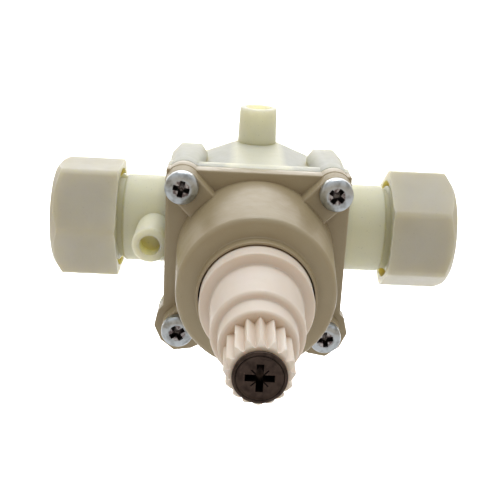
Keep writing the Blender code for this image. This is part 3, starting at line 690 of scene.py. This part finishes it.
def spline():
    """The toothed end, one tooth straight up, its front edges eased."""
    facets_each = 14
    bm = bmesh.new()
    bmesh.ops.create_circle(bm, cap_ends=True, segments=SPLINE_TEETH * facets_each, radius=1.0)
    for vert in bm.verts:
        angle = math.atan2(vert.co.x, vert.co.y)
        phase = (angle * SPLINE_TEETH / math.tau) % 1.0
        ridge = abs(2 * phase - 1)
        eased = 0.55 * ridge + 0.45 * (0.5 - 0.5 * math.cos(math.pi * ridge))
        vert.co *= SPLINE_ROOT + (SPLINE_TIP - SPLINE_ROOT) * eased
    lie = Matrix.Rotation(math.radians(90), 4, "X")
    bmesh.ops.transform(bm, matrix=Matrix.Translation((0, SPLINE_END, 0)) @ lie, verts=bm.verts)
    drawn = bmesh.ops.extrude_face_region(bm, geom=list(bm.faces))
    moved = [item for item in drawn["geom"] if isinstance(item, bmesh.types.BMVert)]
    bmesh.ops.translate(bm, vec=(0, SHOULDER_FRONT - SPLINE_END + 1.0 * MM, 0), verts=moved)
    teeth = as_object("spline", bm, sharp=60)
    clear = SPLINE_TIP + 0.1 * MM
    envelope = turned(
        "spline_envelope",
        [
            (SPLINE_END, 0), (SPLINE_END, 5.05 * MM, 0.2 * MM), (SPLINE_END + 1.3 * MM, clear, 0.5 * MM),
            (SHOULDER_FRONT + 0.9 * MM, clear), (SHOULDER_FRONT + 0.9 * MM, 0),
        ],
        "Y",
    )
    return shaped("spline", teeth, [("INTERSECT", [envelope])])


def spindle():
    """Collar, tapered barrel, shoulder and splined end."""
    ledge = BODY_FRONT - 8.45 * MM
    stem = turned(
        "spindle_form",
        [
            (SHOULDER_FRONT, 0), (SHOULDER_FRONT, 6.9 * MM, 0.55 * MM), (BARREL_FRONT, 7.0 * MM, 0.25 * MM),
            (BARREL_FRONT, 8.4 * MM, 0.7 * MM), (COLLAR_FRONT, 8.75 * MM, 0.3 * MM),
            (COLLAR_FRONT, COLLAR_RADIUS, 0.3 * MM), (LIP_FRONT + 6.5 * MM, COLLAR_RADIUS),
            (LIP_FRONT + 6.5 * MM, SEAL_GROOVE_RADIUS), (LIP_FRONT + 14 * MM, SEAL_GROOVE_RADIUS),
            (LIP_FRONT + 14 * MM, COLLAR_RADIUS), (ledge, COLLAR_RADIUS), (ledge, THRUST_FLANGE_RADIUS),
            (ledge + 2.2 * MM, THRUST_FLANGE_RADIUS), (ledge + 2.2 * MM, 7 * MM),
            (BODY_FRONT + 5.3 * MM, 7 * MM),
            (BODY_FRONT + 5.3 * MM, 0),
        ],
        "Y",
    )
    low = (-TANG_HALF, BODY_FRONT + 4 * MM, -TANG_HALF)
    high = (TANG_HALF, SPINDLE_HIGH.y, TANG_HALF)
    tang = block("tang", low, high, soften=0.3 * MM)
    hole = rod("insert_hole", "Y", SPLINE_END - TOOL_PAST, SPLINE_END + 10 * MM, 4.0 * MM)
    made = shaped("spindle_form", stem, [("UNION", [spline(), tang]), ("DIFFERENCE", [hole])])
    return finished(made, CREAM, "spindle", "cream_acetal", "spindle")


# ---------------------------------------------------------------- screws


def star_recess(front, span, bar, depth, at, spin=0.0, tick=0.0):
    """A cross recess whose four wings taper inwards, with fine ticks between them."""
    tools = []
    for quarter in (0, 90):
        turn = Matrix.Translation(at) @ Matrix.Rotation(math.radians(quarter) + spin, 4, "Y")
        low = (-bar / 2, front - TOOL_PAST, -span / 2)
        high = (bar / 2, front + depth, span / 2)
        tools.append(block(f"wing_{quarter}", low, high, turn, taper=1.2))
        if tick:
            notch = Matrix.Translation(at) @ Matrix.Rotation(math.radians(quarter + 45) + spin, 4, "Y")
            low = (-0.11 * MM, front - TOOL_PAST, -tick)
            high = (0.11 * MM, front + 0.25 * MM, tick)
            tools.append(block(f"notch_{quarter}", low, high, notch))
    core = turned(
        "recess_core",
        [
            (front - TOOL_PAST, 0), (front - TOOL_PAST, bar * 1.1), (front + depth, bar * 0.6),
            (front + depth * 1.2, 0),
        ],
        "Y", at, SMALL_ROUND,
    )
    return [*tools, core]


def cap_screw(corner, spin):
    """A pan-headed screw with a rounded rim and a star recess."""
    place = SCREWS[corner]
    low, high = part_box(f"cap_screw_{corner}")
    front = low.y
    under = front + 2.4 * MM
    tip = high.y
    head = turned(
        f"{corner}_screw",
        [
            (front, 0), (front, 2.3 * MM, 0.3 * MM), (front + 0.3 * MM, 3.15 * MM, 0.25 * MM),
            (front + 0.75 * MM, SCREW_HEAD_RADIUS, 0.3 * MM), (under, SCREW_HEAD_RADIUS, 0.1 * MM),
            (under, SCREW_SHANK_RADIUS), (tip - 2.0 * MM, SCREW_SHANK_RADIUS), (tip, 0.4 * MM), (tip, 0),
        ],
        "Y", (place.x, 0, place.z), SMALL_ROUND,
    )
    at = Vector((place.x, 0, place.z))
    recess = star_recess(front, 3.1 * MM, 0.95 * MM, 1.6 * MM, at, spin)
    made = shaped(f"{corner}_screw", head, [("DIFFERENCE", recess)])
    return finished(made, ZINC, "valve_body", "zinc_plate", f"cap_screw_{corner}")


def end_screw():
    """The flat-headed screw in the spindle's end, with two thin raised rings."""
    front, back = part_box("spindle_screw")
    rim = front.y
    face = rim + 0.1 * MM
    inner_ring = rim + 0.03 * MM
    edge = face + 0.05 * MM
    under = SPLINE_END - 0.3 * MM
    head = turned(
        "end_screw",
        [
            (face, 0), (face, 3.45 * MM, 0.1 * MM), (inner_ring, 3.6 * MM, 0.06 * MM),
            (inner_ring, 3.75 * MM, 0.06 * MM), (face + 0.06 * MM, 3.85 * MM, 0.05 * MM),
            (rim, 4.0 * MM, 0.06 * MM), (rim, 4.15 * MM, 0.06 * MM), (edge, 4.28 * MM, 0.05 * MM),
            (edge, END_HEAD_RADIUS, 0.15 * MM), (under, END_HEAD_RADIUS, 0.1 * MM), (under, 2.5 * MM),
            (back.y, 2.5 * MM), (back.y, 0),
        ],
        "Y",
    )
    recess = star_recess(face, 4.2 * MM, 1.05 * MM, 1.9 * MM, Vector((0, 0, 0)), tick=1.95 * MM)
    made = shaped("end_screw", head, [("DIFFERENCE", recess)])
    return finished(made, BRONZE, "spindle", "dark_bronze", "spindle_screw")


# ---------------------------------------------------------------- nuts and what is in them


def union_nut(side):
    """A six-sided nut with eased corners, a deep outer chamfer, a plain threaded bore and a pipe hole."""
    sign = -1 if side == "left" else 1
    low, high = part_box(f"union_nut_{side}")
    inner = min(abs(low.x), abs(high.x))
    outer = max(abs(low.x), abs(high.x))
    bm = bmesh.new()
    bmesh.ops.create_cone(
        bm, cap_ends=True, cap_tris=False, segments=6, radius1=NUT_CORNER, radius2=NUT_CORNER,
        depth=outer - inner,
    )
    bmesh.ops.rotate(bm, verts=bm.verts, cent=(0, 0, 0), matrix=Matrix.Rotation(math.radians(30), 3, "Z"))
    long_edges = [e for e in bm.edges if abs(e.verts[0].co.z - e.verts[1].co.z) > 1 * MM]
    bmesh.ops.bevel(
        bm, geom=long_edges, offset=1.1 * MM, offset_type="OFFSET", segments=6, profile=0.5, affect="EDGES",
        material=-1,
    )
    place = Matrix.Translation((sign * (inner + outer) / 2, 0, 0))
    turn = Matrix.Rotation(-NUT_TURNED[side], 4, "X")
    bmesh.ops.transform(bm, matrix=turn @ place @ LIE_ALONG["X"], verts=bm.verts)
    hexagon = as_object(f"nut_{side}", bm)
    face = NUT_FLAT - 1.2 * MM
    far = NUT_CORNER + 1.0 * MM
    slope = NUT_CHAMFER / (NUT_CORNER - face)
    chamfer_start = outer - NUT_CHAMFER - slope * (far - NUT_CORNER)
    envelope = turned(
        "nut_envelope",
        [
            (sign * inner, 0), (sign * inner, NUT_CORNER - 0.6 * MM, 0.25 * MM),
            (sign * (inner + 1.7 * MM), far), (sign * chamfer_start, far),
            (sign * outer, face, 0.5 * MM), (sign * outer, 0),
        ],
        "X",
    )
    wall = outer - 2.3 * MM
    hollow = turned(
        "nut_hollow",
        [
            (sign * (inner - TOOL_PAST), 0), (sign * (inner - TOOL_PAST), 11.95 * MM),
            (sign * (inner + 0.3 * MM), NUT_RELIEF_RADIUS), (sign * (inner + 1.5 * MM), NUT_RELIEF_RADIUS),
            (sign * (inner + 2.3 * MM), NUT_THREAD_RADIUS), (sign * wall, NUT_THREAD_RADIUS, 0.3 * MM),
            (sign * wall, PIPE_HOLE_RADIUS), (sign * (outer - 0.4 * MM), PIPE_HOLE_RADIUS),
            (sign * (outer + TOOL_PAST), 9.15 * MM), (sign * (outer + TOOL_PAST), 0),
        ],
        "X",
    )
    made = shaped(f"nut_{side}", hexagon, [("INTERSECT", [envelope]), ("DIFFERENCE", [hollow])])
    return finished(made, NUT_NYLON, f"union_nut_{side}", "nut_nylon", f"union_nut_{side}")


def ring_form(name, node_name, bore_rounding, rim_rounding):
    """A ring of a CAD ring's size with eased edges."""
    low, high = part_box(node_name)
    outline = [
        (low.x, PIPE_HOLE_RADIUS, bore_rounding), (low.x, high.y, rim_rounding),
        (high.x, high.y, rim_rounding), (high.x, PIPE_HOLE_RADIUS, bore_rounding),
    ]
    return turned(name, outline, "X")


def pipe_seal(side):
    made = ring_form(f"seal_{side}", f"pipe_seal_{side}", 0.4 * MM, 0.4 * MM)
    return finished(made, RUBBER, "valve_body", "black_rubber", f"pipe_seal_{side}")


def split_ring(side):
    """The grip ring, with its slit at the top."""
    low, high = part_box(f"grip_ring_{side}")
    base = ring_form(f"grip_{side}", f"grip_ring_{side}", 0.2 * MM, 0.3 * MM)
    slit_half = 0.5 * MM
    slit_low = (low.x - TOOL_PAST, -slit_half, 0)
    slit_high = (high.x + TOOL_PAST, slit_half, high.y + TOOL_PAST)
    made = shaped(f"grip_{side}", base, [("DIFFERENCE", [block("slit", slit_low, slit_high)])])
    return finished(made, ACETAL, f"grip_ring_{side}", "white_acetal", f"grip_ring_{side}")


# ---------------------------------------------------------------- the valve

valve_body()
cap()
spindle()
for turned_by, screw_corner in enumerate(SCREWS):
    cap_screw(screw_corner, math.radians(23 * turned_by + 12))
end_screw()
for nut_side in ("left", "right"):
    union_nut(nut_side)
    split_ring(nut_side)
    pipe_seal(nut_side)

KEPT = {
    "rotor": ACETAL, "shutter_holder": ACETAL, "thrust_washer": ACETAL, "rear_bush": ACETAL,
    "shutter_seal": RUBBER, "body_seal": RUBBER, "spindle_seal_front": RUBBER, "spindle_seal_rear": RUBBER,
    "shutter_spring": STEEL, "screw_insert": BRASS,
}
for kept_name, kept_material in KEPT.items():
    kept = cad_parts[kept_name]
    kept.data.materials.clear()
    kept.data.materials.append(kept_material)

# ---------------------------------------------------------------- stage, light and camera

FLOOR_DROP = 260 * MM
FLOOR_REACH = 1.6


def stage_material():
    mat, tree, shader = new_surface("pale_paper")
    colour = mixed(tree, ramp(tree, noise(tree, 12), 0.3, 0.7), (0.97, 0.97, 0.97), (0.95, 0.95, 0.95))
    tree.links.new(colour, shader.inputs["Base Color"])
    shader.inputs["Roughness"].default_value = 0.85
    return mat


def studio_floor():
    """A floor that curves up into a backdrop behind the valve."""
    level = cad_bounds[0][2] - FLOOR_DROP
    bm = bmesh.new()
    low = bm.verts.new((-FLOOR_REACH, -FLOOR_REACH, level))
    bend = bm.verts.new((-FLOOR_REACH, FLOOR_REACH, level))
    top = bm.verts.new((-FLOOR_REACH, FLOOR_REACH, level + FLOOR_REACH))
    edges = [bm.edges.new((low, bend)), bm.edges.new((bend, top))]
    bmesh.ops.bevel(
        bm, geom=[bend], offset=0.8, offset_type="OFFSET", segments=16, profile=0.5, affect="VERTICES",
        material=-1,
    )
    drawn = bmesh.ops.extrude_edge_only(bm, edges=list(bm.edges))
    moved = [item for item in drawn["geom"] if isinstance(item, bmesh.types.BMVert)]
    bmesh.ops.translate(bm, vec=(2 * FLOOR_REACH, 0, 0), verts=moved)
    floor = as_object("studio_floor", bm)
    floor.data.materials.append(stage_material())


def soft_light(name, place, size, power, aim):
    lamp = bpy.data.lights.new(name, "AREA")
    lamp.shape = "DISK"
    lamp.size = size
    lamp.energy = power
    obj = bpy.data.objects.new(name, lamp)
    obj.location = place
    obj.rotation_euler = (Vector(aim) - Vector(place)).to_track_quat("-Z", "Y").to_euler()
    bpy.context.scene.collection.objects.link(obj)


def camera():
    """Looks down on the spindle's end from in front, rolled a little."""
    rise = math.radians(18.5)
    swing = math.radians(-1.49)
    roll = math.radians(3.13)
    distance = 220.96 * MM
    across = -0.437 * MM
    lift = -6.77 * MM
    back = Vector((math.sin(swing) * math.cos(rise), -math.cos(swing) * math.cos(rise), math.sin(rise)))
    right = Vector((math.cos(swing), math.sin(swing), 0))
    up = back.cross(right)
    lens = bpy.data.cameras.new("camera")
    lens.lens = 65.24
    lens.sensor_width = 36
    lens.clip_start = 0.01
    obj = bpy.data.objects.new("camera", lens)
    facing = Matrix((right, up, back)).transposed().to_4x4()
    place = Matrix.Translation(back * distance + right * across + up * lift)
    obj.matrix_world = place @ facing @ Matrix.Rotation(roll, 4, "Z")
    bpy.context.scene.collection.objects.link(obj)
    bpy.context.scene.camera = obj


def studio_world():
    """A soft sky, warm near the horizon and pale overhead."""
    world = bpy.data.worlds.new("studio")
    world.use_nodes = True
    sky = world.node_tree
    facing = sky.nodes.new("ShaderNodeSeparateXYZ")
    sky.links.new(sky.nodes.new("ShaderNodeTexCoord").outputs["Generated"], facing.inputs["Vector"])
    overhead = ramp(sky, facing.outputs["Z"], -0.1, 0.7)
    colour = mixed(sky, overhead, (0.62, 0.50, 0.36), (0.80, 0.80, 0.80))
    sky.links.new(colour, sky.nodes["Background"].inputs["Color"])
    sky.nodes["Background"].inputs["Strength"].default_value = 0.95
    bpy.context.scene.world = world


studio_floor()
soft_light("key", (0, 0.14, 0.46), 0.36, 0.86, aim=(0, 0, 0))
soft_light("floor_light", (0, 0.5, 0.15), 0.6, 6.5, aim=(0, 0.9, -0.28))
soft_light("backdrop_light", (0, 0.9, 0.7), 1.0, 13.0, aim=(0, 1.8, 0.1))
camera()
studio_world()
bpy.context.scene.view_settings.view_transform = "Standard"
